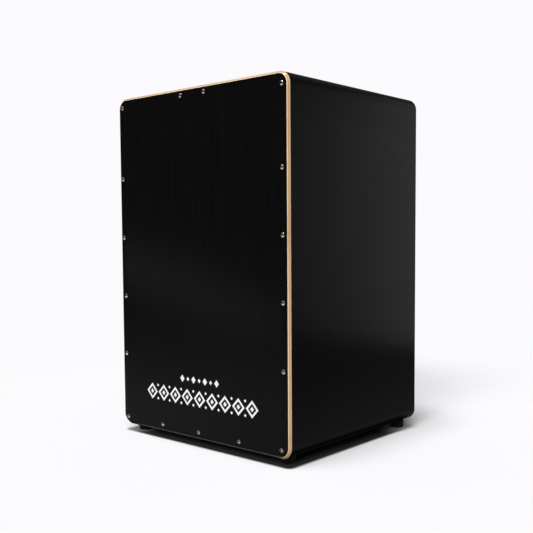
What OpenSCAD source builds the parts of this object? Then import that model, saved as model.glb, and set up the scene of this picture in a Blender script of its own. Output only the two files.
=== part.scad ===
// Flamenco cajon: a plywood box drum that the player sits on. The thin front plate, the tapa, is
// screwed on and is struck with the hands. Guitar strings lie behind it in a V and buzz against it;
// each pair is tightened from below by a bolt that draws a small brass carriage down.
// Millimetres, +Z up, front towards -Y. The origin is on the floor under the middle of the box.

/* [Body] */
// Width of the body, side to side
body_w = 320; // [310:1:330]
// Depth of the body, from the face of the tapa to the back edges
body_d = 288; // [276:1:300]
// Height of the body without its feet
body_h = 470; // [462:1:500]
// Thickness of the side, top and bottom panels
wall_t = 15; // [14.5:0.5:15.5]
// Radius of the four long outer edges that run front to back
edge_r = 16; // [15.5:0.5:18]
// Width of the tongue on the top and bottom panels that sits in the side panels
tongue_w = 7.5; // [6.5:0.5:8]

/* [Tapa] */
// Thickness of the three-ply front plate
tapa_t = 4; // [3.5:0.1:4.5]
// Width of the 45 degree bevel all round its front edge
tapa_bevel = 3.3; // [1:0.1:3.4]
// Distance of the side screws from the side of the body
screw_side_inset = 10; // [9.5:0.25:10.5]
// Distance of the top screws below the top of the body
screw_top_inset = 9; // [8:0.25:10]
// Distance of the bottom screws above the underside of the body
screw_bottom_inset = 10; // [9:0.25:11]

/* [Screws] */
// Diameter of the domed head of a tapa or back screw
screw_head_d = 6; // [5:0.1:6.5]
// Height of the domed head
screw_head_h = 1.5; // [1:0.1:2]
// Diameter of a tapa or back screw's shank
screw_shank_d = 3; // [2.5:0.1:3.2]
// Length of a tapa or back screw under its head
screw_l = 18; // [16:0.5:20]

/* [Back] */
// Thickness of the back panel, which is let in flush with the back edges
back_t = 6; // [5:0.5:8]
// Diameter of the sound hole
sound_hole_d = 115; // [90:1:130]
// Height of the sound hole's centre above the floor
sound_hole_z = 300; // [250:1:340]
// Width and depth of the battens behind the back panel
batten_w = 18; // [16:0.5:22]
// Legs of the three-sided glue blocks in the long corners
corner_block_w = 22; // [20:0.5:26]

/* [Feet] */
// Height of the rubber feet
foot_h = 10; // [9:0.5:11]
// Diameter of a foot at its top
foot_top_d = 21; // [19:0.5:23]
// Diameter of a foot at its bottom
foot_bottom_d = 19; // [18:0.5:21]
// Distance of a front foot's centre from the side and from the face of the tapa
foot_front_inset = 23; // [20:0.5:24]
// Distance of a back foot's centre from the side and from the back of the body
foot_back_inset = 19; // [18.5:0.5:22]

/* [Strings] */
// Diameter of a string
string_d = 1; // [0.8:0.1:1.2]
// Distance between the two strings of a pair
string_gap = 16; // [14:0.5:17]
// Distance of a pair from the middle of the body at its lower end
string_low_x = 50; // [46:1:56]
// Distance of a pair from the middle of the body at its upper end
string_high_x = 105; // [85:1:108]

/* [Tuners] */
// Diameter of the tuner bolt's shank
bolt_d = 6; // [5.5:0.5:6]
// Length of the tuner bolt under its head
bolt_l = 60; // [58:1:62]
// Height of the carriage's middle above the floor, at rest
carriage_z = 62; // [60:1:64]

/* [Hidden] */
$fn = 64;

// Amount by which a cut runs past the face it opens
past = 1;

// Faces of the body
side_x = body_w / 2;
inner_x = side_x - wall_t;
front_y = -body_d / 2;
shell_y = front_y + tapa_t;
back_y = body_d / 2;
base_z = foot_h;
top_z = foot_h + body_h;
floor_z = base_z + wall_t;
ceiling_z = top_z - wall_t;
batten_y = back_y - back_t - batten_w;

// Side screws from the bottom up: how much further in than screw_side_inset each one stands, and
// its height above the underside of the body. They are drilled by hand and don't quite pair up.
left_screws = [
    [1, screw_bottom_inset + 0.5], [-1, 104], [0, 188], [-2, 272], [-2, 356], [-0.8, 457]
];
right_screws = [
    [3.7, screw_bottom_inset + 1.5], [0, 109], [0, 193], [0, 275], [0.5, 356], [0.5, 455]
];
// Places of the screws between the corners along the top and the bottom edge
top_screw_x = [-29, 16];
bottom_screw_x = [-73.5, -1, 74];
screw_side_x = side_x - screw_side_inset;
tapa_screw_xz = concat(
    [for (s = left_screws) [s[0] - screw_side_x, base_z + s[1]]],
    [for (s = right_screws) [screw_side_x - s[0], base_z + s[1]]],
    [for (x = top_screw_x) [x, top_z - screw_top_inset]],
    [for (x = bottom_screw_x) [x, base_z + screw_bottom_inset]]
);
tapa_hole_d = screw_shank_d + 0.3;
screw_tip_h = 3;
screw_slot_w = 0.8;
screw_slot_l = 3.2;
screw_slot_depth = 0.9;

// Back panel and its screws, which run into the middle of the battens
back_gap = 0.25;
back_x = inner_x - back_gap;
back_low_z = floor_z + back_gap;
back_high_z = ceiling_z - back_gap;
back_screw_x = inner_x - batten_w / 2;
back_screw_low_z = floor_z + batten_w / 2;
back_screw_high_z = ceiling_z - batten_w / 2;
back_screw_step = (back_screw_high_z - back_screw_low_z) / 3;
back_mid_screw_x = 45;
back_screw_xz = concat(
    [for (x = [-back_screw_x, back_screw_x], i = [0:3]) [x, back_screw_low_z + i * back_screw_step]],
    [for (x = [-back_mid_screw_x, back_mid_screw_x], z = [back_screw_low_z, back_screw_high_z]) [x, z]]
);
hole_bevel = 1.5;

// Corner blocks stop just short of the tapa, so they can't buzz against it
corner_block_y = shell_y + 1;

// Feet: a counterbore from below takes a washer and the head of the screw
foot_front_x = side_x - foot_front_inset;
foot_back_x = side_x - foot_back_inset;
foot_front_y = front_y + foot_front_inset;
foot_back_y = back_y - foot_back_inset;
foot_rim_r = 1.5;
foot_well_d = 10;
foot_well_h = 5;
foot_screw_d = 4;
foot_screw_top_z = 31;
foot_screw_head_d = 7.6;
foot_screw_head_h = 2.4;
foot_screw_slot_w = 1;
foot_washer_d = 9.4;
foot_washer_t = 1;
foot_hole_gap = 0.2;
foot_xy = [
    [-foot_front_x, foot_front_y], [foot_front_x, foot_front_y],
    [-foot_back_x, foot_back_y], [foot_back_x, foot_back_y]
];

// Tuners: a bolt held in a flanged bushing in the bottom panel, and a carriage on its thread
tuner_y = shell_y + 15;
running_gap = 0.05;
bushing_flange_d = 24;
bushing_flange_h = 2;
bushing_d = 16;
bushing_well_d = 10.8;
bushing_well_h = 7.2;
bolt_head_d = 10;
bolt_head_h = 6;
bolt_head_z = base_z + 0.9;
bolt_shank_z = bolt_head_z + bolt_head_h;
bolt_tip_h = 1;
hex_across_flats = 5;
hex_depth = 3;
collar_d = 12;
collar_h = 5;
collar_z = floor_z + 0.3;
carriage_w = 34;
carriage_h = 14;
carriage_front_y = shell_y + 1;
carriage_back_y = carriage_front_y + 23;
carriage_low_z = carriage_z - carriage_h / 2;
slide_gap = 0.3;
tuner_block_w = 54;
tuner_block_front_y = shell_y + 0.5;
tuner_block_back_y = carriage_back_y + 9;
tuner_block_h = 55;

// Strings: two pairs in a V. They leave the carriage a little way behind the tapa and touch it
// near the top, where they bend back over the edge of the anchor bar to their ball ends.
string_r = string_d / 2;
string_low_y = shell_y + 3.6;
string_high_y = shell_y + string_r + 0.2;
string_high_z = ceiling_z - 9;
string_hole_r = string_r + 0.2;
string_hold = 5;
ferrule_d = 3.6;
ferrule_h = 6;
ferrule_gap = 0.1;
anchor_w = 236;
anchor_front_y = string_high_y + string_r + 0.1;
anchor_d = 16;
anchor_h = 18;
anchor_back_y = anchor_front_y + anchor_d;
anchor_screw_x = [-60, 0, 60];
anchor_screw_d = 3.5;
anchor_screw_head_d = 7;
anchor_screw_head_h = 2.2;
anchor_screw_top_z = ceiling_z + 9;
ball_d = 3.8;
ball_l = 3.6;
damper_w = 40;
damper_t = 2;
damper_h = 30;
damper_z = 150;

// Box between two opposite corners
module block(low, high) {
    translate(low) cube(high - low);
}

// Round rod from one point to another
module rod(from, to, r) {
    v = to - from;
    translate(from)
        rotate([0, acos(v[2] / norm(v)), atan2(v[1], v[0])])
            cylinder(h = norm(v), r = r);
}

// Solid of the body's outline, rounded along its four long edges, between two depths
module body_solid(y_low, y_high, inset = 0) {
    w = body_w - 2 * inset;
    h = body_h - 2 * inset;
    r = edge_r - inset;
    translate([0, y_high, (base_z + top_z) / 2])
        rotate([90, 0, 0])
            linear_extrude(y_high - y_low)
                union() {
                    square([w, h - 2 * r], center = true);
                    square([w - 2 * r, h], center = true);
                    for (x = [-1, 1], z = [-1, 1])
                        translate([x * (w / 2 - r), z * (h / 2 - r)]) circle(r);
                }
}

// Domed cross-head screw: its head stands on z = 0 and its shank runs down
module domed_screw(l) {
    dome_r = (pow(screw_head_d / 2, 2) + pow(screw_head_h, 2)) / (2 * screw_head_h);
    difference() {
        union() {
            intersection() {
                translate([0, 0, screw_head_h - dome_r]) sphere(dome_r);
                cylinder(h = screw_head_h + past, d = screw_head_d);
            }
            translate([0, 0, screw_tip_h - l]) cylinder(h = l - screw_tip_h, d = screw_shank_d);
            translate([0, 0, -l]) cylinder(h = screw_tip_h, d1 = 0.6, d2 = screw_shank_d);
        }
        for (turn = [0, 90])
            rotate([0, 0, turn])
                translate([-screw_slot_l / 2, -screw_slot_w / 2, screw_head_h - screw_slot_depth])
                    cube([screw_slot_l, screw_slot_w, screw_slot_depth + past]);
    }
}

// Pilot holes of the tapa screws in the box, or their wider holes in the tapa
module tapa_holes(d) {
    for (p = tapa_screw_xz)
        translate([p[0], front_y + screw_l, p[1]])
            rotate([90, 0, 0]) cylinder(h = screw_l + past, d = d);
}

// Holes of the back screws in the battens and the back panel
module back_holes(d) {
    for (p = back_screw_xz)
        translate([p[0], back_y + past, p[1]])
            rotate([90, 0, 0]) cylinder(h = screw_l + past, d = d);
}

// Holes of the foot screws in the bottom panel and in what is glued above it
module foot_holes() {
    for (p = foot_xy)
        translate([p[0], p[1], base_z - past])
            cylinder(h = foot_screw_top_z - base_z + past, d = foot_screw_d);
}

// Top or bottom panel, with tongues at its ends that sit in the side panels
module level_panel(z_low) {
    tongue_x = inner_x + tongue_w;
    intersection() {
        body_solid(shell_y, back_y);
        block([-tongue_x, shell_y - past, z_low], [tongue_x, back_y + past, z_low + wall_t]);
    }
}

module top_panel() {
    color("#181819") difference() {
        level_panel(ceiling_z);
        tapa_holes(screw_shank_d);
        for (x = anchor_screw_x)
            translate([x, (anchor_front_y + anchor_back_y) / 2, ceiling_z - past])
                cylinder(h = anchor_screw_top_z - ceiling_z + past, d = anchor_screw_d);
    }
}

module bottom_panel() {
    color("#181819") difference() {
        level_panel(base_z);
        tapa_holes(screw_shank_d);
        foot_holes();
        for (x = [-string_low_x, string_low_x])
            translate([x, tuner_y, base_z - past]) {
                cylinder(h = wall_t + 2 * past, d = bushing_d);
                cylinder(h = bushing_flange_h + past, d = bushing_flange_d);
            }
    }
}

// Side panel: side is -1 for the left one and 1 for the right one
module side_panel(side) {
    color("#1d1d1f") difference() {
        intersection() {
            body_solid(shell_y, back_y);
            translate([side * (side_x - wall_t / 2), 0, (base_z + top_z) / 2])
                cube([wall_t, body_d + 2 * past, body_h + 2 * past], center = true);
        }
        for (z = [base_z, ceiling_z])
            translate([side * (inner_x + tongue_w / 2), 0, z + wall_t / 2])
                cube([tongue_w, body_d + 2 * past, wall_t], center = true);
        tapa_holes(screw_shank_d);
    }
}

// Three-sided glue block in a long corner: side and level are -1 or 1
module corner_block(side, level) {
    z = level < 0 ? floor_z : ceiling_z;
    color("#c9a26b") difference() {
        translate([side * inner_x, batten_y, z])
            rotate([90, 0, 0])
                linear_extrude(batten_y - corner_block_y)
                    polygon([[0, 0], [-side * corner_block_w, 0], [0, -level * corner_block_w]]);
        if (level < 0) foot_holes();
    }
}

// Batten across the back, under the top panel or on the bottom panel
module level_batten(z_low) {
    color("#c9a26b") difference() {
        block([-inner_x, batten_y, z_low], [inner_x, back_y - back_t, z_low + batten_w]);
        back_holes(screw_shank_d);
        if (z_low == floor_z) foot_holes();
    }
}

// Batten up the back of a side panel
module upright_batten(side) {
    mid = (floor_z + ceiling_z) / 2;
    color("#c9a26b") difference() {
        translate([side * (inner_x - batten_w / 2), batten_y + batten_w / 2, mid])
            cube([batten_w, batten_w, ceiling_z - floor_z - 2 * batten_w], center = true);
        back_holes(screw_shank_d);
    }
}

// Front plate. Its bevel is built from a prism along each side and a cone at each corner.
module tapa() {
    half_w = side_x - edge_r;
    half_h = body_h / 2 - edge_r;
    mid_z = (base_z + top_z) / 2;
    face_w = side_x - tapa_bevel;
    face_h = body_h / 2 - tapa_bevel;
    color("#161616") difference() {
        union() {
            body_solid(front_y + tapa_bevel, shell_y);
            translate([0, 0, mid_z - half_h])
                linear_extrude(2 * half_h)
                    polygon([
                        [-face_w, front_y], [face_w, front_y],
                        [side_x, front_y + tapa_bevel], [-side_x, front_y + tapa_bevel]
                    ]);
            translate([-half_w, 0, mid_z])
                rotate([90, 0, 90])
                    linear_extrude(2 * half_w)
                        polygon([
                            [front_y, -face_h], [front_y, face_h],
                            [front_y + tapa_bevel, body_h / 2], [front_y + tapa_bevel, -body_h / 2]
                        ]);
            for (x = [-half_w, half_w], z = [mid_z - half_h, mid_z + half_h])
                translate([x, front_y + tapa_bevel, z])
                    rotate([90, 0, 0]) cylinder(h = tapa_bevel, r1 = edge_r, r2 = edge_r - tapa_bevel);
        }
        tapa_holes(tapa_hole_d);
    }
}

module tapa_screws() {
    color("#b9a688") for (p = tapa_screw_xz)
        translate([p[0], front_y, p[1]]) rotate([90, 0, 0]) domed_screw(screw_l);
}

module back_panel() {
    color("#1a1a1b") difference() {
        block([-back_x, back_y - back_t, back_low_z], [back_x, back_y, back_high_z]);
        back_holes(tapa_hole_d);
        translate([0, back_y, sound_hole_z]) rotate([90, 0, 0]) {
            translate([0, 0, -past]) cylinder(h = back_t + 2 * past, d = sound_hole_d);
            cylinder(h = hole_bevel, d1 = sound_hole_d + 2 * hole_bevel, d2 = sound_hole_d);
            translate([0, 0, back_t - hole_bevel])
                cylinder(h = hole_bevel, d1 = sound_hole_d, d2 = sound_hole_d + 2 * hole_bevel);
        }
    }
}

module back_screws() {
    color("#b9a688") for (p = back_screw_xz)
        translate([p[0], back_y, p[1]]) rotate([-90, 0, 0]) domed_screw(screw_l);
}

// Rubber foot, turned about its own axis, with its lower rim rounded
module foot(p) {
    top_r = foot_top_d / 2;
    low_r = foot_bottom_d / 2;
    color("#1b1b1d") translate([p[0], p[1], 0])
        rotate_extrude()
            difference() {
                union() {
                    polygon([
                        [0, 0], [low_r - foot_rim_r, 0], [low_r - foot_rim_r, foot_rim_r],
                        [low_r, foot_rim_r], [top_r, foot_h], [0, foot_h]
                    ]);
                    translate([low_r - foot_rim_r, foot_rim_r]) circle(foot_rim_r);
                }
                translate([-past, -past]) square([past + foot_well_d / 2, past + foot_well_h]);
                translate([-past, 0])
                    square([past + foot_screw_d / 2 + foot_hole_gap, foot_h + past]);
                translate([-foot_rim_r - past, -past]) square([foot_rim_r + past, foot_h + 2 * past]);
            }
}

module foot_washers() {
    color("#9a9a9e") for (p = foot_xy)
        translate([p[0], p[1], foot_well_h - foot_washer_t])
            difference() {
                cylinder(h = foot_washer_t, d = foot_washer_d);
                translate([0, 0, -past])
                    cylinder(h = foot_washer_t + 2 * past, d = foot_screw_d + 2 * foot_hole_gap);
            }
}

module foot_screws() {
    head_z = foot_well_h - foot_washer_t;
    color("#9a9a9e") for (p = foot_xy)
        translate([p[0], p[1], head_z])
            difference() {
                union() {
                    translate([0, 0, -foot_screw_head_h])
                        cylinder(h = foot_screw_head_h, d = foot_screw_head_d);
                    cylinder(h = foot_screw_top_z - head_z, d = foot_screw_d);
                }
                for (turn = [0, 90])
                    rotate([0, 0, turn])
                        translate([0, 0, -foot_screw_head_h])
                            cube([foot_screw_head_d / 2, foot_screw_slot_w, foot_screw_head_h],
                                center = true);
            }
}

// End of a string where its pair is nearest to the middle (low) or under the top panel (high).
// pair is -1 for the left pair and 1 for the right one, edge is -1 for a pair's left string
function string_low(pair, edge) =
    [pair * string_low_x + edge * string_gap / 2, string_low_y, carriage_low_z];
function string_high(pair, edge) =
    [pair * string_high_x + edge * string_gap / 2, string_high_y, string_high_z];
function string_direction(pair, edge) =
    (string_high(pair, edge) - string_low(pair, edge))
    / norm(string_high(pair, edge) - string_low(pair, edge));

// The two straight stretches of a string cross at its bend, where each ends flush with the other
module guitar_string(pair, edge) {
    high = string_high(pair, edge);
    d = string_direction(pair, edge);
    color("#b08d57") union() {
        rod(string_low(pair, edge) - string_hold * d, high + string_r * d, string_r);
        rod(high - [0, string_r, 0], [high[0], anchor_back_y + ball_d / 2, high[2]], string_r);
    }
}

// Hardwood bar under the top panel that the strings are threaded through
module string_anchor() {
    mid_y = (anchor_front_y + anchor_back_y) / 2;
    color("#a8794a") difference() {
        block(
            [-anchor_w / 2, anchor_front_y, ceiling_z - anchor_h],
            [anchor_w / 2, anchor_back_y, ceiling_z]
        );
        for (pair = [-1, 1], edge = [-1, 1])
            translate([string_high(pair, edge)[0], anchor_back_y + past, string_high_z])
                rotate([90, 0, 0]) cylinder(h = anchor_d + 2 * past, r = string_hole_r);
        for (x = anchor_screw_x)
            translate([x, mid_y, ceiling_z - anchor_h - past])
                cylinder(h = anchor_h + 2 * past, d = anchor_screw_d);
    }
}

module anchor_screws() {
    low_z = ceiling_z - anchor_h;
    color("#b9a688") for (x = anchor_screw_x)
        translate([x, (anchor_front_y + anchor_back_y) / 2, low_z]) {
            cylinder(h = anchor_screw_top_z - low_z, d = anchor_screw_d);
            translate([0, 0, -anchor_screw_head_h])
                cylinder(h = anchor_screw_head_h, d = anchor_screw_head_d);
        }
}

// Small brass barrels that stop the strings behind the anchor bar
module string_ball_ends() {
    color("#c8a24a") for (pair = [-1, 1], edge = [-1, 1])
        translate([string_high(pair, edge)[0] - ball_l / 2, anchor_back_y + ball_d / 2, string_high_z])
            rotate([0, 90, 0])
                difference() {
                    cylinder(h = ball_l, d = ball_d);
                    translate([0, 0, ball_l / 2])
                        rotate([90, 0, 0]) cylinder(h = ball_d, r = string_r);
                }
}

// Felt pad on the back of the tapa, behind the lower part of a pair of strings
module damper(pair) {
    rise = (damper_z - carriage_low_z) / (string_high_z - carriage_low_z);
    x = pair * (string_low_x + rise * (string_high_x - string_low_x));
    color("#3a3a3d")
        block(
            [x - damper_w / 2, shell_y, damper_z - damper_h / 2],
            [x + damper_w / 2, shell_y + damper_t, damper_z + damper_h / 2]
        );
}

// Hardwood block with a slot, open to the front, that keeps a carriage from turning
module tuner_block(pair) {
    x = pair * string_low_x;
    slot_x = carriage_w / 2 + slide_gap;
    color("#a8794a") difference() {
        block(
            [x - tuner_block_w / 2, tuner_block_front_y, floor_z],
            [x + tuner_block_w / 2, tuner_block_back_y, floor_z + tuner_block_h]
        );
        block(
            [x - slot_x, tuner_block_front_y - past, floor_z - past],
            [x + slot_x, carriage_back_y + slide_gap, floor_z + tuner_block_h + past]
        );
    }
}

// Flanged brass bushing let into the underside of the bottom panel
module tuner_bushing(pair) {
    color("#b8924a") translate([pair * string_low_x, tuner_y, base_z])
        difference() {
            union() {
                cylinder(h = wall_t, d = bushing_d);
                cylinder(h = bushing_flange_h, d = bushing_flange_d);
            }
            translate([0, 0, -past]) cylinder(h = wall_t + 2 * past, d = bolt_d + 2 * running_gap);
            translate([0, 0, -past]) cylinder(h = bushing_well_h + past, d = bushing_well_d);
        }
}

// Socket-head bolt, turned with a hex key from below
module tuner_bolt(pair) {
    color("#8f9094") translate([pair * string_low_x, tuner_y, bolt_head_z])
        difference() {
            union() {
                cylinder(h = bolt_head_h, d = bolt_head_d);
                translate([0, 0, bolt_head_h]) cylinder(h = bolt_l - bolt_tip_h, d = bolt_d);
                translate([0, 0, bolt_head_h + bolt_l - bolt_tip_h])
                    cylinder(h = bolt_tip_h, d1 = bolt_d, d2 = bolt_d - 2 * bolt_tip_h);
            }
            translate([0, 0, -past])
                cylinder(h = hex_depth + past, d = hex_across_flats / cos(30), $fn = 6);
        }
}

// Collar pressed on the bolt above the bushing, so the bolt can turn but not rise or fall
module tuner_collar(pair) {
    color("#8f9094") translate([pair * string_low_x, tuner_y, collar_z])
        difference() {
            cylinder(h = collar_h, d = collar_d);
            translate([0, 0, -past]) cylinder(h = collar_h + 2 * past, d = bolt_d);
        }
}

// Brass nut block that the turning bolt draws down, with the lower ends of two strings
module string_carriage(pair) {
    x = pair * string_low_x;
    color("#c09a50") difference() {
        block(
            [x - carriage_w / 2, carriage_front_y, carriage_low_z],
            [x + carriage_w / 2, carriage_back_y, carriage_low_z + carriage_h]
        );
        translate([x, tuner_y, carriage_low_z - past])
            cylinder(h = carriage_h + 2 * past, d = bolt_d + 2 * running_gap);
        for (edge = [-1, 1])
            rod(
                string_low(pair, edge) - past * string_direction(pair, edge),
                string_low(pair, edge) + (carriage_h + 2) * string_direction(pair, edge),
                string_hole_r
            );
    }
}

// Sleeves crimped on the lower ends of a pair of strings, under the carriage
module string_ferrules(pair) {
    color("#c8a24a") for (edge = [-1, 1]) {
        d = string_direction(pair, edge);
        top = string_low(pair, edge) - 0.3 * d;
        difference() {
            rod(top - ferrule_h * d, top, ferrule_d / 2);
            rod(top - (ferrule_h + past) * d, top + past * d, string_r + ferrule_gap);
        }
    }
}

SIDES = [["left", -1], ["right", 1]];

top_panel();
bottom_panel();
side_panel(-1);  // left_panel
side_panel(1);  // right_panel
for (level = [["top", 1], ["bottom", -1]], side = SIDES)
    corner_block(side[1], level[1]);
level_batten(ceiling_z - batten_w);  // rear_batten_top
level_batten(floor_z);  // rear_batten_bottom
upright_batten(-1);  // rear_batten_left
upright_batten(1);  // rear_batten_right
tapa();
tapa_screws();
back_panel();
back_screws();
for (row = [["front", foot_front_x, foot_front_y], ["back", foot_back_x, foot_back_y]], side = SIDES)
    foot([side[1] * row[1], row[2]]);
foot_washers();
foot_screws();
string_anchor();
anchor_screws();
for (pair = SIDES, place = [["outer", 1], ["inner", -1]])
    guitar_string(pair[1], pair[1] * place[1]);
string_ball_ends();
for (pair = SIDES) {
    damper(pair[1]);
    tuner_block(pair[1]);
    tuner_bushing(pair[1]);
    tuner_bolt(pair[1]);
    tuner_collar(pair[1]);
    string_carriage(pair[1]);
    string_ferrules(pair[1]);
}
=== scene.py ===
"""Looks of the flamenco cajon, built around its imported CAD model.

Metres, in the row's frame: +Z up, front towards -Y, origin on the floor under the middle of the box.
"""
import math
import random

import bmesh
import bpy
from mathutils import Matrix, Vector


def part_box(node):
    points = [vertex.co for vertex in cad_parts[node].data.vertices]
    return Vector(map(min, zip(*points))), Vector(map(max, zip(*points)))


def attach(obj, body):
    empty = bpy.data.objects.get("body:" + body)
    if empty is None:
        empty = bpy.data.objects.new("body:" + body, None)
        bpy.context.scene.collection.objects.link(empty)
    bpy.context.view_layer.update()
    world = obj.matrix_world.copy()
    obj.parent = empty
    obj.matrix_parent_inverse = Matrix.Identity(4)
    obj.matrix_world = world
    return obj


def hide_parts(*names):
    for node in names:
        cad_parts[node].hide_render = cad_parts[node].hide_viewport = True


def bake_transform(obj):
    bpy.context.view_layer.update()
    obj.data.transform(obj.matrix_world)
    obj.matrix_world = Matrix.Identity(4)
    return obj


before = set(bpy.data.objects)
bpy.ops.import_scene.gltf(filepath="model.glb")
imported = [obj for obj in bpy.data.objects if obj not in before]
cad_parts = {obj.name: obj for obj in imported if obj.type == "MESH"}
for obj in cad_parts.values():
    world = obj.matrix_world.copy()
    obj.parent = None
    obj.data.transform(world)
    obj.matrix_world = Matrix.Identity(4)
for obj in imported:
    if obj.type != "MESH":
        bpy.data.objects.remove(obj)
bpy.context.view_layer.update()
MM = 0.001

# ---------------------------------------------------------------- sizes, from the frame
tapa_low, tapa_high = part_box("tapa")
FRONT = tapa_low.y
TAPA_T = tapa_high.y - tapa_low.y
HALF_W = tapa_high.x
HALF_H = (tapa_high.z - tapa_low.z) / 2
MID_Z = (tapa_high.z + tapa_low.z) / 2
back_low, back_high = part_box("back_panel")
BACK = back_high.y
INNER_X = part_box("rear_batten_top")[1].x
FLOOR_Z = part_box("rear_batten_bottom")[0].z
CEILING_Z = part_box("rear_batten_top")[1].z
EDGE_R = 16 * MM
BEVEL = 3.3 * MM


# ---------------------------------------------------------------- node graphs
class Graph:
    """A material's node tree, with short calls for the nodes that the finishes share."""

    def __init__(self, name):
        self.material = bpy.data.materials.new(name)
        self.material.use_nodes = True
        self.tree = self.material.node_tree
        self.tree.nodes.clear()
        self.shader = self.add("ShaderNodeBsdfPrincipled")
        out = self.add("ShaderNodeOutputMaterial")
        self.tree.links.new(self.shader.outputs[0], out.inputs[0])
        self.place = self.add("ShaderNodeTexCoord").outputs["Object"]

    def add(self, kind, **settings):
        node = self.tree.nodes.new(kind)
        for name, value in settings.items():
            setattr(node, name, value)
        return node

    def feed(self, socket, value):
        if isinstance(value, bpy.types.NodeSocket):
            self.tree.links.new(value, socket)
        else:
            socket.default_value = value

    def set(self, **inputs):
        """Sets the shader's inputs, such as base_color= or coat_weight=."""
        for name, value in inputs.items():
            socket = next(s for s in self.shader.inputs if s.name.lower().replace(" ", "_") == name)
            if isinstance(value, (tuple, list)) and len(value) == 3:
                value = (*value, 1.0)
            self.feed(socket, value)
        return self

    def stretch(self, scale):
        node = self.add("ShaderNodeMapping")
        self.feed(node.inputs["Vector"], self.place)
        node.inputs["Scale"].default_value = scale
        return node.outputs[0]

    def noise(self, scale, detail=4.0, rough=0.55, warp=0.0, vector=None):
        node = self.add("ShaderNodeTexNoise")
        self.feed(node.inputs["Vector"], vector or self.place)
        node.inputs["Scale"].default_value = scale
        node.inputs["Detail"].default_value = detail
        node.inputs["Roughness"].default_value = rough
        node.inputs["Distortion"].default_value = warp
        return node.outputs[0]

    def math(self, operation, a, b=0.0):
        node = self.add("ShaderNodeMath", operation=operation)
        for socket, value in zip(node.inputs, (a, b)):
            self.feed(socket, value)
        return node.outputs[0]

    def axis(self, name):
        node = self.add("ShaderNodeSeparateXYZ")
        self.feed(node.inputs[0], self.place)
        return node.outputs[name]

    def ease(self, value, low, high, to_low=0.0, to_high=1.0):
        """Smooth step of value from low to high."""
        node = self.add("ShaderNodeMapRange", interpolation_type="SMOOTHSTEP")
        for socket, v in zip(node.inputs, (value, low, high, to_low, to_high)):
            self.feed(socket, v)
        return node.outputs[0]

    def span(self, value, low, high):
        """Straight-line map of a 0 to 1 value to low to high."""
        node = self.add("ShaderNodeMapRange")
        for socket, v in zip(node.inputs, (value, 0.0, 1.0, low, high)):
            self.feed(socket, v)
        return node.outputs[0]

    def mix(self, share, a, b, blend="MIX"):
        node = self.add("ShaderNodeMix", data_type="RGBA", blend_type=blend)
        for socket, value in zip((node.inputs[0], node.inputs[6], node.inputs[7]), (share, a, b)):
            if isinstance(value, (tuple, list)) and len(value) == 3:
                value = (*value, 1.0)
            self.feed(socket, value)
        return node.outputs[2]

    def between(self, share, a, b):
        """Mix of two plain values."""
        node = self.add("ShaderNodeMix")
        for socket, value in zip((node.inputs[0], node.inputs[2], node.inputs[3]), (share, a, b)):
            self.feed(socket, value)
        return node.outputs[0]

    def bump(self, height, strength, distance, after=None):
        node = self.add("ShaderNodeBump")
        node.inputs["Strength"].default_value = strength
        node.inputs["Distance"].default_value = distance
        self.feed(node.inputs["Height"], height)
        if after is not None:
            self.feed(node.inputs["Normal"], after)
        return node.outputs[0]


def grain_scale(along, length, across):
    """Texture scale of wood whose grain runs along one axis."""
    return tuple(length if name == along else across for name in "XYZ")


def wood_colour(g, light, dark, along):
    """Colour and height of plain wood: broad figure, fine fibres and pores."""
    figure = g.noise(1.0, 5.0, 0.6, 1.2, g.stretch(grain_scale(along, 4.0, 60.0)))
    fibres = g.noise(1.0, 3.0, 0.7, 0.0, g.stretch(grain_scale(along, 20.0, 900.0)))
    pores = g.noise(1.0, 2.0, 0.5, 0.0, g.stretch(grain_scale(along, 60.0, 1800.0)))
    pores = g.ease(pores, 0.62, 0.7)
    colour = g.mix(g.ease(figure, 0.3, 0.7), light, dark)
    colour = g.mix(g.math("MULTIPLY", g.ease(fibres, 0.35, 0.75), 0.35), colour, dark)
    colour = g.mix(g.math("MULTIPLY", pores, 0.35), colour, tuple(c * 0.45 for c in dark))
    height = g.math("SUBTRACT", fibres, g.math("MULTIPLY", pores, 0.6))
    return colour, height


BIRCH = (0.66, 0.47, 0.27), (0.50, 0.32, 0.165)
PINE = (0.62, 0.41, 0.20), (0.44, 0.25, 0.10)
BEECH = (0.40, 0.22, 0.11), (0.27, 0.135, 0.06)
BLACK = (0.0032, 0.0032, 0.0035)
BLACK_GRAIN = (0.0046, 0.0045, 0.0047)
LACQUER_GLOSS = 0.05


def black_lacquer(g, along):
    """Satin black lacquer over wood: colour, roughness and normal. The grain just shows through."""
    fibres = g.noise(1.0, 4.0, 0.65, 0.6, g.stretch(grain_scale(along, 12.0, 420.0)))
    pores = g.noise(1.0, 2.0, 0.5, 0.0, g.stretch(grain_scale(along, 45.0, 1500.0)))
    pores = g.ease(pores, 0.60, 0.72)
    cloud = g.noise(7.0, 3.0, 0.5, 0.3)
    rubbed = g.ease(g.noise(55.0, 6.0, 0.7, 0.8), 0.58, 0.80)
    colour = g.mix(g.ease(fibres, 0.35, 0.7), BLACK, BLACK_GRAIN)
    rough = g.math("ADD", g.span(cloud, 0.16, 0.23), g.math("MULTIPLY", rubbed, 0.06))
    rough = g.math("ADD", rough, g.math("MULTIPLY", pores, 0.08))
    orange_peel = g.noise(900.0, 2.0, 0.5)
    height = g.math("SUBTRACT", fibres, g.math("MULTIPLY", pores, 0.8))
    normal = g.bump(height, 0.10, 0.00006)
    normal = g.bump(orange_peel, 0.05, 0.00003, normal)
    return colour, rough, normal


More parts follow.
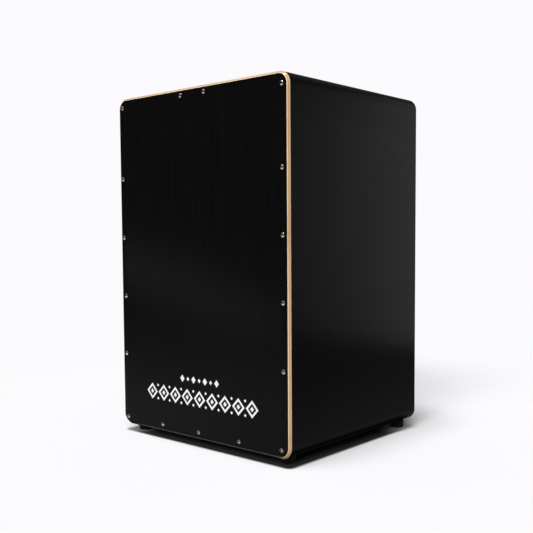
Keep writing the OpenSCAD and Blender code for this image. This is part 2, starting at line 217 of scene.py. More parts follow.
def ply_layers(g, depth, thickness, plies):
    """Colour of a plywood edge: plies whose grain runs by turns along and across the edge.
    depth is the distance from the face, in metres."""
    wobble = g.math("MULTIPLY", g.math("SUBTRACT", g.noise(45.0, 2.0), 0.5), 0.00012)
    at = g.math("DIVIDE", g.math("ADD", depth, wobble), thickness)
    share = 1.0 / len(plies)
    colour = plies[0]
    for i, ply in enumerate(plies[1:], 1):
        step = g.ease(at, i * share - 0.012, i * share + 0.012)
        colour = g.mix(step, colour, ply)
        from_line = g.math("ABSOLUTE", g.math("SUBTRACT", at, i * share))
        line = g.math("SUBTRACT", 1.0, g.ease(from_line, 0.0, 0.02))
        colour = g.mix(g.math("MULTIPLY", line, 0.35), colour, (0.20, 0.11, 0.05))
    streaks = g.noise(1.0, 4.0, 0.7, 0.0, g.stretch((260.0, 2600.0, 260.0)))
    return g.mix(g.math("MULTIPLY", g.ease(streaks, 0.45, 0.8), 0.45), colour, (0.36, 0.20, 0.09))


def tapa_finish():
    """Black face, clear-lacquered bevel that shows three plies, birch at the back. The bevel's clear
    coat lies on the back too."""
    g = Graph("tapa_finish")
    depth = g.math("SUBTRACT", g.axis("Y"), FRONT)
    colour, rough, normal = black_lacquer(g, "Z")
    plies = [(0.84, 0.655, 0.46), (0.60, 0.365, 0.19), (0.71, 0.51, 0.30)]
    edge = ply_layers(g, depth, TAPA_T, plies)
    # Painted shade: the bevel is dark along the bottom, up to the right corner, and round the left corner
    rise, x = g.math("SUBTRACT", g.axis("Z"), tapa_low.z), g.axis("X")
    bottom = g.math("MULTIPLY", g.ease(rise, 0.0034, 0.0044, 1.0, 0.0), g.ease(x, 0.138, 0.152, 1.0, 0.0))
    corner = g.math("MULTIPLY", g.ease(rise, 0.016, 0.034, 1.0, 0.0), g.ease(x, -0.135, -0.115, 1.0, 0.0))
    painted_shade = g.math("MAXIMUM", bottom, corner)
    # Painted highlight: a grey line on the arris next to the face, where the bevel's shade is painted
    arris_highlight = g.math("MULTIPLY", g.ease(depth, 0.0014, 0.0019, 1.0, 0.0), g.ease(x, -0.140, -0.110))
    shade_and_arris_highlight = g.mix(arris_highlight, (0.010, 0.0095, 0.009), (0.19, 0.187, 0.183))
    edge = g.mix(g.math("MULTIPLY", painted_shade, 0.985), edge, shade_and_arris_highlight)
    drift = g.noise(1.0, 2.0, 0.5, 0.0, g.stretch((9.0, 1.0, 9.0)))
    edge = g.mix(g.ease(drift, 0.42, 0.66), edge, (0.90, 0.84, 0.78), "MULTIPLY")
    bare, fibres = wood_colour(g, *BIRCH, "Z")
    ragged = g.math("MULTIPLY", g.noise(220.0, 3.0), 0.00010)
    past_paint = g.ease(g.math("SUBTRACT", depth, ragged), 0.00030, 0.00044)
    at_back = g.ease(depth, TAPA_T - 0.00006, TAPA_T - 0.00002)
    colour = g.mix(past_paint, colour, edge)
    colour = g.mix(at_back, colour, bare)
    rough = g.between(past_paint, rough, g.span(g.noise(160.0), 0.24, 0.38))
    rough = g.between(at_back, rough, 0.62)
    g.set(base_color=colour, roughness=rough, normal=g.bump(fibres, 0.08, 0.00005, normal))
    # No clear coat where the bevel's shade is painted
    coat = g.math("MULTIPLY", past_paint, g.math("SUBTRACT", 1.0, painted_shade))
    g.set(specular_ior_level=LACQUER_GLOSS, coat_weight=coat, coat_roughness=0.12)
    return g.material


def panel_finish(name, along):
    """Black lacquer outside, bare birch on the faces that look into the box."""
    g = Graph(name)
    colour, rough, normal = black_lacquer(g, along)
    bare, fibres = wood_colour(g, *BIRCH, along)
    in_x = g.math("SUBTRACT", g.math("ABSOLUTE", g.axis("X")), INNER_X)
    middle = (FLOOR_Z + CEILING_Z) / 2
    in_z = g.math("ABSOLUTE", g.math("SUBTRACT", g.axis("Z"), middle))
    in_z = g.math("SUBTRACT", in_z, (CEILING_Z - FLOOR_Z) / 2)
    inside = g.math("LESS_THAN", g.math("MAXIMUM", in_x, in_z), 0.00005)
    g.set(
        base_color=g.mix(inside, colour, bare),
        roughness=g.between(inside, rough, 0.6),
        normal=g.bump(fibres, 0.06, 0.00006, normal),
        specular_ior_level=LACQUER_GLOSS,
    )
    return g.material


def back_finish():
    """Black outside, bare inside; the edge of the sound hole shows its five plies."""
    g = Graph("back_finish")
    depth = g.math("SUBTRACT", BACK, g.axis("Y"))
    colour, rough, normal = black_lacquer(g, "Z")
    light, dark = (0.72, 0.54, 0.33), (0.52, 0.34, 0.18)
    edge = ply_layers(g, depth, BACK - back_low.y, [light, dark, light, dark, light])
    bare, fibres = wood_colour(g, *BIRCH, "Z")
    past_paint = g.ease(depth, 0.00010, 0.00020)
    inside = g.ease(depth, BACK - back_low.y - 0.0002, BACK - back_low.y - 0.0001)
    colour = g.mix(inside, g.mix(past_paint, colour, edge), bare)
    rough = g.between(past_paint, rough, g.span(g.noise(160.0), 0.30, 0.45))
    g.set(base_color=colour, roughness=rough, normal=g.bump(fibres, 0.05, 0.00006, normal))
    g.set(specular_ior_level=LACQUER_GLOSS)
    return g.material


def bare_wood(name, tones, along):
    g = Graph(name)
    colour, height = wood_colour(g, *tones, along)
    g.set(base_color=colour, roughness=g.span(g.noise(30.0), 0.5, 0.68), normal=g.bump(height, 0.25, 0.0001))
    return g.material


def metal(name, tone, dark, rough=0.3, brushed=None):
    """Plated or machined metal, with fine scratches, dull spots and a little tarnish."""
    g = Graph(name)
    vector = g.stretch(brushed) if brushed else g.place
    scratches = g.noise(1800.0 if not brushed else 1.0, 3.0, 0.7, 0.0, vector)
    dull = g.noise(260.0, 4.0, 0.6)
    colour = g.mix(g.ease(dull, 0.40, 0.75), tone, dark)
    roughness = g.math("ADD", g.span(scratches, rough - 0.08, rough + 0.12), g.math("MULTIPLY", dull, 0.1))
    g.set(base_color=colour, metallic=1.0, roughness=roughness, normal=g.bump(scratches, 0.12, 0.00002))
    return g.material


def rubber_finish():
    g = Graph("moulded_rubber")
    cloud = g.noise(140.0, 4.0, 0.6)
    speckle = g.noise(2600.0, 2.0, 0.6)
    colour = g.mix(g.ease(cloud, 0.35, 0.75), (0.0042, 0.0045, 0.0056), (0.0075, 0.0080, 0.0096))
    scuffs = g.ease(g.axis("Z"), 0.0, 0.0016, 1.0, 0.0)
    colour = g.mix(g.math("MULTIPLY", scuffs, g.ease(cloud, 0.3, 0.6)), colour, (0.012, 0.012, 0.012))
    g.set(base_color=colour, roughness=g.span(cloud, 0.48, 0.66), normal=g.bump(speckle, 0.25, 0.00004))
    g.set(specular_ior_level=0.2)
    return g.material


def felt_finish():
    g = Graph("wool_felt")
    fuzz = g.noise(1500.0, 5.0, 0.75, 1.5)
    clump = g.noise(240.0, 3.0, 0.6)
    colour = g.mix(fuzz, (0.035, 0.036, 0.042), (0.085, 0.085, 0.092))
    colour = g.mix(g.math("MULTIPLY", g.ease(clump, 0.4, 0.8), 0.4), colour, (0.03, 0.03, 0.034))
    g.set(base_color=colour, roughness=0.95, sheen_weight=0.35, sheen_roughness=0.5)
    g.set(normal=g.bump(fuzz, 0.6, 0.0003))
    return g.material


def print_finish():
    """White screen print: a matt ink film, a little thin in places."""
    g = Graph("white_print")
    thin = g.ease(g.noise(420.0, 5.0, 0.7), 0.55, 0.85)
    colour = g.mix(thin, (0.86, 0.86, 0.87), (0.62, 0.62, 0.63))
    g.set(base_color=colour, roughness=g.span(g.noise(300.0), 0.42, 0.58), normal=g.bump(thin, 0.15, 0.00003))
    return g.material


def string_finish():
    """Bronze winding: fine ridges across the string."""
    g = Graph("bronze_winding")
    turns = g.math("SINE", g.math("MULTIPLY", g.axis("Z"), 2 * math.pi / 0.00032))
    tarnish = g.noise(90.0, 4.0, 0.6)
    colour = g.mix(g.ease(tarnish, 0.4, 0.7), (0.60, 0.36, 0.16), (0.40, 0.22, 0.10))
    g.set(base_color=colour, metallic=1.0, roughness=g.span(tarnish, 0.26, 0.42))
    g.set(normal=g.bump(turns, 0.5, 0.00006))
    return g.material


MATERIALS = {
    "tapa": tapa_finish(),
    "side": panel_finish("side_panel_finish", "Z"),
    "level": panel_finish("level_panel_finish", "X"),
    "back": back_finish(),
    "pine_y": bare_wood("pine_along_y", PINE, "Y"),
    "pine_x": bare_wood("pine_along_x", PINE, "X"),
    "pine_z": bare_wood("pine_along_z", PINE, "Z"),
    "beech": bare_wood("beech_along_x", BEECH, "X"),
    "nickel": metal("brassy_nickel", (0.93, 0.81, 0.70), (0.80, 0.66, 0.52), 0.2),
    # Dark, rough metal for the screws' recesses: painted shade
    "recess": metal("recess_shadow", (0.10, 0.085, 0.07), (0.05, 0.04, 0.03), 0.55),
    "zinc": metal("zinc_plate", (0.58, 0.58, 0.60), (0.42, 0.42, 0.43), 0.34),
    "brass": metal("machined_brass", (0.76, 0.55, 0.27), (0.67, 0.46, 0.20), 0.27, (60.0, 60.0, 2400.0)),
    "rubber": rubber_finish(),
    "felt": felt_finish(),
    "print": print_finish(),
    "string": string_finish(),
}

CAD_FINISH = {
    "left_panel": "side", "right_panel": "side", "top_panel": "level", "bottom_panel": "level",
    "back_panel": "back", "rear_batten_top": "pine_x", "rear_batten_bottom": "pine_x",
    "rear_batten_left": "pine_z", "rear_batten_right": "pine_z", "string_anchor": "beech",
    "tuner_block_left": "beech", "tuner_block_right": "beech", "tapa": "tapa",
    "tapa_screws": "nickel", "back_screws": "nickel",
}
CAD_PREFIX_FINISH = [
    ("corner_block", "pine_y"), ("foot_washers", "zinc"), ("foot_screws", "zinc"), ("foot_", "rubber"),
    ("anchor_screws", "zinc"), ("tuner_bolt", "zinc"), ("tuner_collar", "zinc"), ("damper", "felt"),
    ("string_left", "string"), ("string_right", "string"), ("", "brass"),
]


def finish_cad_nodes():
    for name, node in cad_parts.items():
        key = CAD_FINISH.get(name) or next(f for start, f in CAD_PREFIX_FINISH if name.startswith(start))
        node.data.materials.clear()
        node.data.materials.append(MATERIALS[key])


finish_cad_nodes()


# ---------------------------------------------------------------- softened edges of the CAD nodes
WELD_GAP = 0.000002


def round_edges(obj, width, angle):
    """Adds a bevel of two segments on edges sharper than angle degrees."""
    bevel = obj.modifiers.new("edges", "BEVEL")
    bevel.width = width
    bevel.segments = 2
    bevel.limit_method = "ANGLE"
    bevel.angle_limit = math.radians(angle)
    return bevel


def soften(name, width):
    """Rounds a CAD node's sharp edges a little, so that they catch the light as worked edges do."""
    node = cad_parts[name]
    weld = node.modifiers.new("weld", "WELD")
    weld.merge_threshold = WELD_GAP
    round_edges(node, width, 35).harden_normals = True


for prefix, width in (
    ("rear_batten", 0.0008), ("corner_block", 0.0006), ("string_anchor", 0.0008), ("tuner_block", 0.0008),
    ("tuner_collar", 0.0003), ("string_carriage", 0.0005), ("foot_front", 0.0005), ("foot_back", 0.0005),
):
    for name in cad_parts:
        if name.startswith(prefix):
            soften(name, width)


# ---------------------------------------------------------------- mesh helpers
def new_piece(name, mesh, key, body="box", replaces=()):
    obj = bpy.data.objects.new(name, mesh)
    bpy.context.scene.collection.objects.link(obj)
    mesh.materials.append(MATERIALS[key])
    if replaces:
        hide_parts(*replaces)
    if body:
        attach(obj, body)
    return obj


def mesh_of(name, verts, faces, smooth_angle=None):
    mesh = bpy.data.meshes.new(name)
    mesh.from_pydata([tuple(v) for v in verts], [], faces)
    mesh.validate()
    if smooth_angle is not None:
        mesh.shade_smooth()
        mesh.set_sharp_from_angle(angle=math.radians(smooth_angle))
    return mesh


def rings_to_mesh(rings):
    """Verts and faces of a capped skin over closed rings of equal length, as lists."""
    n = len(rings[0])
    verts = [v for ring in rings for v in ring]
    faces = [
        (j * n + i, j * n + (i + 1) % n, (j + 1) * n + (i + 1) % n, (j + 1) * n + i)
        for j in range(len(rings) - 1) for i in range(n)
    ]
    faces.append(tuple(reversed(range(n))))
    faces.append(tuple(range((len(rings) - 1) * n, len(rings) * n)))
    return verts, faces


def join(parts):
    verts, faces = [], []
    for part_verts, part_faces in parts:
        start = len(verts)
        verts += part_verts
        faces += [tuple(i + start for i in face) for face in part_faces]
    return verts, faces


# ---------------------------------------------------------------- front plate
def rounded_outline(half_w, half_h, radius, steps=14):
    """Points anticlockwise, seen from the front, round a rounded rectangle about (0, MID_Z)."""
    points = []
    for k, (sx, sz) in enumerate(((1, -1), (1, 1), (-1, 1), (-1, -1))):
        for i in range(steps + 1):
            a = math.radians(-90 + 90 * (k + i / steps))
            points.append((
                sx * (half_w - radius) + radius * math.cos(a),
                MID_Z + sz * (half_h - radius) + radius * math.sin(a),
            ))
    return points


def build_tapa():
    """The tapa with its 45 degree bevel; both arrises of the bevel are lightly sanded round."""
    sand = 0.00025
    steps = [
        (BEVEL + 0.012, 0.0), (BEVEL + 2 * sand, 0.0), (BEVEL + sand, 0.00002), (BEVEL + 0.4 * sand, 0.00009),
        (BEVEL - 0.5 * sand, 0.8 * sand), (BEVEL * 0.5, BEVEL * 0.5), (0.6 * sand, BEVEL - 0.6 * sand),
        (0.25 * sand, BEVEL - 0.1 * sand), (0.0, BEVEL + 0.6 * sand), (0.0, TAPA_T - 0.0001), (0.0, TAPA_T),
    ]
    rings = []
    for inset, depth in steps:
        radius = max(EDGE_R - inset, 0.001)
        outline = rounded_outline(HALF_W - inset, HALF_H - inset, radius)
        rings.append([(x, FRONT + depth, z) for x, z in outline])
    verts, faces = rings_to_mesh(rings)
    faces = [tuple(reversed(f)) for f in faces]
    mesh = mesh_of("tapa_plate", verts, faces, 30)
    return new_piece("tapa_plate", mesh, "tapa", replaces=["tapa"])


# ---------------------------------------------------------------- printed border
PRINT_LIFT = 0.00004


def polygon(points):
    """Flat printed shape: points are (x, z) in millimetres, anticlockwise from the front."""
    verts = [(x * MM, FRONT - PRINT_LIFT, z * MM) for x, z in points]
    return verts, [tuple(range(len(verts)))]


def frame_shape(outer, inner):
    """Flat band between two outlines of equal length."""
    n = len(outer)
    verts = [(x * MM, FRONT - PRINT_LIFT, z * MM) for x, z in outer + inner]
    return verts, [(i, (i + 1) % n, n + (i + 1) % n, n + i) for i in range(n)]


def rhombus(x, z, half_w, half_h):
    return [(x, z - half_h), (x + half_w, z), (x, z + half_h), (x - half_w, z)]


def build_print():
    """Plain geometric border in white, in millimetres: a band of open rhombi with small ones in and
    between them, and a short row of large and small rhombi above."""
    parts = []
    band_x, band_z, pitch, count = 2.0, 65.5, 24.0, 9
    row_x, row_z, row_pitch, row_count = 1.8, 90.5, 11.0, 7
    outer, hole, core = (11.0, 11.5), (7.2, 7.5), (3.2, 3.4)
    filler, filler_rise = (2.2, 2.2), 9.4
    row_sizes = (4.3, 5.0), (2.6, 3.0)
    for i in range(count):
        x = (i - (count - 1) / 2) * pitch + band_x
        parts.append(frame_shape(rhombus(x, band_z, *outer), rhombus(x, band_z, *hole)))
        parts.append(polygon(rhombus(x, band_z, *core)))
        if i:
            between = x - pitch / 2
            parts.append(polygon(rhombus(between, band_z + filler_rise, *filler)))
            parts.append(polygon(rhombus(between, band_z - filler_rise, *filler)))
    for i in range(row_count):
        x = (i - (row_count - 1) // 2) * row_pitch + row_x
        parts.append(polygon(rhombus(x, row_z, *row_sizes[i % 2])))
    verts, faces = join(parts)
    mesh = mesh_of("printed_border", verts, faces)
    return new_piece("printed_border", mesh, "print")


# ---------------------------------------------------------------- screws and bolts
HEAD_DOME_R = 0.00375
RECESS_REACH, RECESS_DEPTH = 0.0018, 0.00015


def turned(name, key, seed):
    """The node's screws, each turned by its own angle about its axis along Y, as driven by hand. Faces
    that lie deeper than the head's dome, near its axis, get a dark metal: painted shade in the recess."""
    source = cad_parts[name].data
    bm = bmesh.new()
    bm.from_mesh(source)
    bmesh.ops.remove_doubles(bm, verts=bm.verts, dist=WELD_GAP)
    rng = random.Random(seed)
    left = set(bm.verts)
    while left:
        island, grow = set(), [min(left, key=lambda v: v.index)]
        while grow:
            v = grow.pop()
            if v in island:
                continue
            island.add(v)
            grow += [e.other_vert(v) for e in v.link_edges]
        left -= island
        xs, zs = [v.co.x for v in island], [v.co.z for v in island]
        centre = Vector(((min(xs) + max(xs)) / 2, 0.0, (min(zs) + max(zs)) / 2))
        top = max(abs(v.co.y) for v in island)
        for face in {f for v in island for f in v.link_faces}:
            middle = face.calc_center_median()
            reach = math.hypot(middle.x - centre.x, middle.z - centre.z)
            dome = HEAD_DOME_R - math.sqrt(max(HEAD_DOME_R ** 2 - reach ** 2, 0.0))
            deep = top - abs(middle.y) > dome + RECESS_DEPTH
            # The second slot paints the shade in the recess
            face.material_index = int(reach < RECESS_REACH and deep)
        turn = Matrix.Translation(centre) @ Matrix.Rotation(rng.uniform(0, math.pi / 2), 4, "Y")
        turn = turn @ Matrix.Translation(-centre)
        for v in island:
            v.co = turn @ v.co
    mesh = bpy.data.meshes.new(name + "_driven")
    bm.to_mesh(mesh)
    bm.free()
    mesh.shade_smooth()
    mesh.set_sharp_from_angle(angle=math.radians(28))
    obj = new_piece(name + "_driven", mesh, key, replaces=[name])
    mesh.materials.append(MATERIALS["recess"])
    round_edges(obj, 0.00012, 40)
    return obj


def threaded_bolt(side):
    """Tuner bolt: cap head with a hexagon socket from below, and a shank with a real 1 mm thread."""
    low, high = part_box(f"tuner_bolt_{side}")
    x, y = (low.x + high.x) / 2, (low.y + high.y) / 2
    head_r, head_h, socket, deep = 0.005, 0.006, 0.0025, 0.003
    pitch, root, crest, n = 0.001, 0.00262, 0.003, 36

    def ring(z, radius):
        return [
            (x + radius(i) * math.cos(2 * math.pi * i / n), y + radius(i) * math.sin(2 * math.pi * i / n), z)
            for i in range(n)
        ]

    def hexagon(i):
        a = math.radians((360 * i / n + 30) % 60 - 30)
        return socket / math.cos(a)

    top = low.z + head_h
    rings = [ring(low.z + deep, lambda i: 0.0009), ring(low.z + deep, hexagon)]
    rings += [ring(low.z + 0.0003, hexagon), ring(low.z, lambda i: hexagon(i) + 0.0003)]
    rings += [ring(low.z, lambda i: head_r - 0.0005)]
    rings += [ring(low.z + 0.0002, lambda i: head_r - 0.00015), ring(low.z + 0.0006, lambda i: head_r)]
    rings += [ring(top - 0.0003, lambda i: head_r), ring(top, lambda i: head_r - 0.0003)]
    rings += [ring(top, lambda i: crest), ring(top + 0.0016, lambda i: crest)]
    steps = 8
    z, end = top + 0.002, high.z - 0.0008
    count = int((end - z) / pitch * steps)
    for k in range(count + 1):
        at = z + (end - z) * k / count

        def thread(i, at=at):
            phase = (at / pitch - i / n) % 1.0
            return root + (crest - root) * (1 - abs(2 * phase - 1))

        rings.append(ring(at, thread))
    rings.append(ring(high.z, lambda i: root - 0.0003))
    verts, faces = rings_to_mesh(rings)
    mesh = mesh_of(f"threaded_bolt_{side}", verts, faces, 40)
    return new_piece(
        f"threaded_bolt_{side}", mesh, "zinc", f"tuner_{side}", [f"tuner_bolt_{side}"]
    )


# ---------------------------------------------------------------- strings
def tube(path, radius, sides=12):
    rings, across = [], Vector((1.0, 0.0, 0.0))
    for k, point in enumerate(path):
        ahead = (path[min(k + 1, len(path) - 1)] - path[max(k - 1, 0)]).normalized()
        across = (across - ahead * across.dot(ahead)).normalized()
        up = ahead.cross(across)
        rings.append([
            tuple(point + radius * (math.cos(a) * across + math.sin(a) * up))
            for a in (2 * math.pi * i / sides for i in range(sides))
        ])
    return rings_to_mesh(rings)


def build_string(side, edge):
    """Wound string from the ferrule, up along the tapa, bent over the bar's edge and through the bar."""
    node = f"string_{side}_{edge}"
    sx = -1 if side == "left" else 1
    off = 8 * MM if edge == "outer" else -8 * MM
    low = Vector((sx * (50 * MM + off), -136.4 * MM, 55 * MM))
    high = Vector((sx * (105 * MM + off), -139.3 * MM, 456 * MM))
    direction = (high - low).normalized()
    start, end = low - direction * 5 * MM, Vector((high.x, -119.4 * MM, high.z))
    r = 1.2 * MM
    path = [start + (high - direction * r - start) * k / 40 for k in range(41)]
    for k in range(1, 6):
        t = k / 6
        a, b, c = high - direction * r, high, high + Vector((0.0, r, 0.0))
        path.append((1 - t) ** 2 * a + 2 * t * (1 - t) * b + t * t * c)
    first = high + Vector((0.0, r, 0.0))
    path += [first + (end - first) * k / 6 for k in range(7)]
    verts, faces = tube(path, 0.5 * MM)
    mesh = mesh_of(f"wound_{node}", verts, faces, 60)
    obj = new_piece(f"wound_{node}", mesh, "string", None, [node])
    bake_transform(obj)
    return obj


# ---------------------------------------------------------------- felt dampers
def build_damper(side):
    """Pad of thick felt glued behind the tapa under a pair of strings: soft corners, a slightly
    crowned and uneven face."""
    node = f"damper_{side}"
    low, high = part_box(node)
    size, centre = high - low, (high + low) / 2
    bm = bmesh.new()
    bmesh.ops.create_cube(bm, size=1.0)
    for v in bm.verts:
        v.co = Vector((v.co.x * size.x, v.co.y * size.y, v.co.z * size.z))
    bmesh.ops.bevel(bm, geom=bm.edges[:], offset=0.0006, segments=3, profile=0.6, affect="EDGES")
    long_edges = [e for e in bm.edges if e.calc_length() > 0.004]
    bmesh.ops.subdivide_edges(bm, edges=long_edges, cuts=14, use_grid_fill=True)
    rng = random.Random(side)
    phases = [rng.uniform(0, 6.28) for _ in range(4)]
    for v in bm.verts:
        wave = math.sin(v.co.x * 410 + phases[0]) * math.sin(v.co.z * 520 + phases[1])
        wave += 0.5 * math.sin(v.co.x * 1300 + phases[2]) * math.sin(v.co.z * 1130 + phases[3])
        crown = (1 - (2 * v.co.x / size.x) ** 2) * (1 - (2 * v.co.z / size.z) ** 2)
        if v.co.y > 0:
            v.co.y += 0.00010 * wave + 0.0003 * (crown - 1.0)
        v.co += centre
    mesh = bpy.data.meshes.new(f"felt_{node}")
    bm.to_mesh(mesh)
    bm.free()
    mesh.shade_smooth()
    obj = new_piece(f"felt_{node}", mesh, "felt", replaces=[node])
    return obj


build_tapa()
build_print()
turned("tapa_screws", "nickel", 3)
turned("back_screws", "nickel", 4)
for side in ("left", "right"):
    threaded_bolt(side)
    build_damper(side)
    for edge in ("outer", "inner"):
        build_string(side, edge)


# ---------------------------------------------------------------- camera, light and floor
def look(location, azimuth, down, roll):
    """Camera turned azimuth degrees towards +X from a view along +Y, pitched down and rolled."""
    a, p, r = (math.radians(x) for x in (azimuth, down, roll))
    forward = Vector((-math.sin(a) * math.cos(p), math.cos(a) * math.cos(p), -math.sin(p)))
    right = Vector((math.cos(a), math.sin(a), 0.0))
    up = right.cross(forward)
    right, up = right * math.cos(r) + up * math.sin(r), up * math.cos(r) - right * math.sin(r)
    turn = Matrix((right, up, -forward)).transposed()
    return Matrix.Translation(location) @ turn.to_4x4()


camera = bpy.data.objects.new("camera", bpy.data.cameras.new("camera"))
bpy.context.scene.collection.objects.link(camera)
camera.data.lens = 53.5
camera.data.sensor_width = 36.0
camera.data.shift_x = -0.0188
camera.data.shift_y = 0.0375
camera.data.clip_start = 0.05
camera_place = Vector((0.7687, FRONT - 0.7235, 0.2863))
camera.matrix_world = look(camera_place, azimuth=40.99, down=3.80, roll=-0.34)
bpy.context.scene.camera = camera

BACKGROUND = (0.967, 0.951, 0.974)
FLOOR_FADE = 0.36, 0.85
POOL_CENTRE = (-0.15, -0.25, 0.0)
POOL = [(0.0, 0.90), (0.13, 0.74), (0.27, 0.42), (0.49, 0.20), (0.80, 0.08), (1.0, 0.03)]
POOL_REACH = 2.0
# Distances from the box between which the pool fades in
POOL_GAP = 0.002, 0.034
# Light left under the box, in its middle and at its rim, and how far it lifts at the far right
SHADE_UNDER = 0.016, 0.065
SHADE_FAR = 0.6


class Shaders:
    """Short calls for the shader trees of the floor, the world and the cards."""

    def __init__(self, tree, output):
        self.tree = tree
        tree.nodes.clear()
        self.out = tree.nodes.new(output)
        self.path = tree.nodes.new("ShaderNodeLightPath")

    def node(self, kind, colour=None, strength=None):
        node = self.tree.nodes.new(kind)
        if colour is not None:
            node.inputs[0].default_value = (*colour, 1.0)
        if strength is not None:
            node.inputs[1].default_value = strength
        return node

    def link(self, source, target):
        self.tree.links.new(source, target)

    def feed(self, value, socket):
        if isinstance(value, bpy.types.NodeSocket):
            self.link(value, socket)
        else:
            socket.default_value = value

    def calc(self, operation, *values):
        node = self.tree.nodes.new("ShaderNodeMath")
        node.operation = operation
        for value, socket in zip(values, node.inputs):
            self.feed(value, socket)
        return node.outputs[0]

    def ease(self, value, *ends, kind="SMOOTHSTEP"):
        """Step of value from low to high: ends are low, high and, if not 0 and 1, the two results."""
        node = self.tree.nodes.new("ShaderNodeMapRange")
        node.interpolation_type = kind
        for v, socket in zip((value, *ends), node.inputs):
            self.feed(v, socket)
        return node.outputs[0]

    def axes(self, vector):
        node = self.tree.nodes.new("ShaderNodeSeparateXYZ")
        self.link(vector, node.inputs[0])
        return node.outputs

    def mix(self, share, a, b):
        node = self.tree.nodes.new("ShaderNodeMixShader")
        for source, target in zip((share, a, b), node.inputs):
            self.link(source, target)
        return node.outputs[0]

    def finish(self, shader):
        self.link(shader, self.out.inputs[0])


def make_world():
    """Near white to the camera; nearly dark to everything else, as a black studio round a lit set."""
    world = bpy.data.worlds.new("studio")
    bpy.context.scene.world = world
    world.use_nodes = True
    s = Shaders(world.node_tree, "ShaderNodeOutputWorld")
    seen = s.node("ShaderNodeBackground", BACKGROUND, 1.0)
    gloss = s.node("ShaderNodeBackground", (1.0, 1.0, 1.0))
    ray = s.node("ShaderNodeTexCoord").outputs["Generated"]
    s.link(s.ease(s.axes(ray)["Z"], 0.22, 0.85, 0.02, 0.22), gloss.inputs[1])
    lit = s.node("ShaderNodeBackground", (1.0, 1.0, 1.0), 0.12)
    unseen = s.mix(s.path.outputs["Is Glossy Ray"], lit.outputs[0], gloss.outputs[0])
    s.finish(s.mix(s.path.outputs["Is Camera Ray"], unseen, seen.outputs[0]))


def contact_shade(s, place):
    """Two shares, 1 in the open and near 0 under the box, whose underside is 10 mm off the floor: its
    own soft-edged shade, which thins out at the far left and far right corners, and a wider one that
    the gloss sees."""
    calc, ease = s.calc, s.ease
    x, y = s.axes(place)["X"], s.axes(place)["Y"]
    past_x = calc("SUBTRACT", calc("ABSOLUTE", x), HALF_W)
    past_y = calc("SUBTRACT", calc("ABSOLUTE", y), -FRONT)
    round_x = calc("MAXIMUM", calc("ADD", past_x, EDGE_R / 2), 0.0)
    round_y = calc("MAXIMUM", calc("ADD", past_y, EDGE_R / 2), 0.0)
    square_x, square_y = (calc("MULTIPLY", v, v) for v in (round_x, round_y))
    reach = calc("SQRT", calc("ADD", square_x, square_y))
    under = ease(calc("MAXIMUM", past_x, past_y), -0.040, 0.002, *SHADE_UNDER)
    leak = ease(x, -HALF_W - 0.008, -HALF_W + 0.055, 0.75, 0.0)
    far = ease(calc("SUBTRACT", y, calc("MULTIPLY", x, -0.6)), 0.150, 0.245, 0.0, SHADE_FAR)
    floor = calc("MAXIMUM", under, calc("MAXIMUM", leak, far))
    edge = ease(far, 0.0, 1.0, 0.003, 0.016)
    shade = ease(reach, EDGE_R / 2 - 0.0045, calc("ADD", edge, EDGE_R / 2), floor, 1.0)
    gloss_shade = ease(reach, *(EDGE_R / 2 + gap for gap in POOL_GAP), 0.03, 1.0)
    return shade, gloss_shade


def make_floor():
    """Pale paper floor that runs out into the background, so that no horizon shows. Gloss sees it as
    a pool of light in front of the box, which fades away from the set."""
    bm = bmesh.new()
    bmesh.ops.create_circle(bm, cap_ends=True, segments=96, radius=30.0)
    mesh = bpy.data.meshes.new("floor")
    bm.to_mesh(mesh)
    bm.free()
    floor = bpy.data.objects.new("floor", mesh)
    bpy.context.scene.collection.objects.link(floor)
    floor.location.z = -0.0002
    material = bpy.data.materials.new("floor")
    material.use_nodes = True
    s = Shaders(material.node_tree, "ShaderNodeOutputMaterial")
    place = s.node("ShaderNodeTexCoord").outputs["Object"]
    paper = s.node("ShaderNodeBsdfDiffuse")
    tint = s.tree.nodes.new("ShaderNodeMix")
    tint.data_type = "RGBA"
    shade, gloss_shade = contact_shade(s, place)
    s.link(shade, tint.inputs[0])
    tint.inputs[6].default_value = (0.0, 0.0, 0.0, 1.0)
    tint.inputs[7].default_value = (0.835, 0.821, 0.841, 1.0)
    s.link(tint.outputs[2], paper.inputs[0])
    far = s.node("ShaderNodeEmission", BACKGROUND, 1.0)
    bounce = s.node("ShaderNodeBsdfDiffuse", (0.12, 0.12, 0.12))
    pool = s.node("ShaderNodeEmission", (1.0, 1.0, 1.0))

    def distance(centre):
        node = s.tree.nodes.new("ShaderNodeVectorMath")
        node.operation = "DISTANCE"
        s.link(place, node.inputs[0])
        node.inputs[1].default_value = centre
        return node.outputs["Value"]

    fade = s.ease(distance((0.0, 0.0, 0.0)), *FLOOR_FADE, kind="SMOOTHERSTEP")
    ramp = s.tree.nodes.new("ShaderNodeValToRGB")
    s.link(s.ease(distance(POOL_CENTRE), 0.0, POOL_REACH, kind="LINEAR"), ramp.inputs[0])
    for _ in POOL[2:]:
        ramp.color_ramp.elements.new(0.5)
    for element, (at, value) in zip(ramp.color_ramp.elements, POOL):
        element.position = at
        element.color = (value, value, value, 1.0)
    s.link(s.calc("MULTIPLY", ramp.outputs[0], gloss_shade), pool.inputs[1])
    shown = s.mix(fade, paper.outputs[0], far.outputs[0])
    unseen = s.mix(s.path.outputs["Is Glossy Ray"], bounce.outputs[0], pool.outputs[0])
    s.finish(s.mix(s.path.outputs["Is Camera Ray"], unseen, shown))
    mesh.materials.append(material)


def aim(obj, target):
    direction = Vector(target) - obj.location
    obj.rotation_mode = "QUATERNION"
    obj.rotation_quaternion = direction.to_track_quat("-Z", "Y")


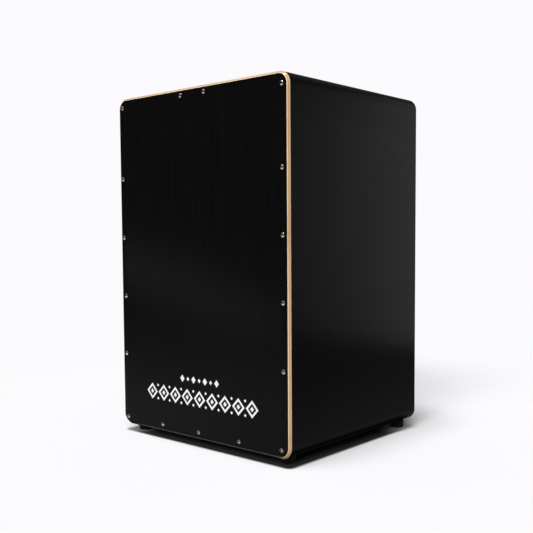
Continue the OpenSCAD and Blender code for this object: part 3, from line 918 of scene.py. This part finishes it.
def sun(name, towards, strength, angle):
    """Distant soft light that comes from the direction towards. Gloss sees the cards instead."""
    light = bpy.data.lights.new(name, "SUN")
    light.energy = strength
    light.angle = math.radians(angle)
    obj = bpy.data.objects.new(name, light)
    bpy.context.scene.collection.objects.link(obj)
    obj.location = Vector(towards)
    obj.visible_glossy = False
    aim(obj, (0, 0, 0))
    return obj


def card(name, corners, strengths):
    """Card that glows in the gloss only. strengths are (along, up, value) at places from 0 to 1 along
    its first and up its last edge."""
    columns = sorted({a for a, _, _ in strengths})
    rows = sorted({u for _, u, _ in strengths})
    glow = {(a, u): v for a, u, v in strengths}
    mesh = bpy.data.meshes.new(name)
    c = [Vector(p) for p in corners]
    verts = [c[0].lerp(c[1], a).lerp(c[3].lerp(c[2], a), u) for u in rows for a in columns]
    n = len(columns)
    faces = [
        (i + j * n, i + 1 + j * n, i + 1 + (j + 1) * n, i + (j + 1) * n)
        for j in range(len(rows) - 1) for i in range(n - 1)
    ]
    mesh.from_pydata(verts, [], faces)
    layer = mesh.color_attributes.new("glow", "FLOAT_COLOR", "POINT")
    for k, (u, a) in enumerate((u, a) for u in rows for a in columns):
        layer.data[k].color = (glow[a, u],) * 3 + (1.0,)
    obj = bpy.data.objects.new(name, mesh)
    bpy.context.scene.collection.objects.link(obj)
    material = bpy.data.materials.new(name)
    material.use_nodes = True
    s = Shaders(material.node_tree, "ShaderNodeOutputMaterial")
    light = s.node("ShaderNodeEmission")
    attribute = s.tree.nodes.new("ShaderNodeAttribute")
    attribute.attribute_name = "glow"
    s.link(attribute.outputs["Fac"], light.inputs[1])
    s.finish(light.outputs[0])
    mesh.materials.append(material)
    obj.visible_camera = obj.visible_diffuse = obj.visible_shadow = False
    obj.visible_transmission = False
    return obj


def grid(gain, columns, rows):
    """Strengths for card(): gain times the share of each (place, share) column and row."""
    return [(a, u, gain * across * up) for a, across in columns for u, up in rows]


EVEN = (0.0, 1.0), (1.0, 1.0)
FAR_ROWS = (0.0, 0.2), (0.4, 1.0), (0.7, 0.8), (1.0, 0.0)

make_world()
make_floor()
sun("overhead", (0.0, -0.16, 1.0), 2.15, 18)
sun("front", (0.36, -0.90, 0.44), 2.95, 46)
card(
    "backdrop_card",
    [(0.25, 0.70, 0.03), (1.15, 0.70, 0.03), (1.15, 0.70, 0.9), (0.25, 0.70, 0.9)],
    grid(
        1.0,
        ((0.0, 1.7), (0.3, 1.45), (0.5, 1.05), (0.68, 0.8), (1.0, 0.5)),
        ((0.0, 0.85), (0.3, 1.0), (0.6, 1.0), (0.75, 0.6), (1.0, 0.25)),
    ),
)
card(
    "front_strip",
    [(-0.62, -1.05, -0.06), (-1.42, -1.08, 0.14), (-1.42, -1.08, 0.30), (-0.62, -1.05, 0.10)],
    grid(1.3, EVEN, ((0.0, 0.2), (0.35, 1.0), (0.65, 1.0), (1.0, 0.2))),
)
card(
    "top_card",
    [(0.06, -0.60, 1.60), (0.30, -0.60, 1.60), (0.30, -0.40, 1.66), (0.06, -0.40, 1.66)],
    grid(26.0, EVEN, EVEN),
)
# The last two stand behind and to the left, for the views from those sides
card(
    "back_card",
    [(0.35, 2.0, -0.1), (-1.8, 2.0, -0.1), (-1.8, 2.0, 0.95), (0.35, 2.0, 0.95)],
    grid(5.0, ((0.0, 0.4), (0.35, 1.0), (1.0, 0.5)), FAR_ROWS),
)
card(
    "left_card",
    [(-2.1, 1.7, -0.1), (-2.1, 0.1, -0.1), (-2.1, 0.1, 1.1), (-2.1, 1.7, 1.1)],
    grid(5.0, ((0.0, 0.4), (0.5, 1.0), (1.0, 0.4)), FAR_ROWS),
)

bpy.context.scene.view_settings.view_transform = "Standard"

# ---------------------------------------------------------------- last lines
bpy.context.view_layer.update()
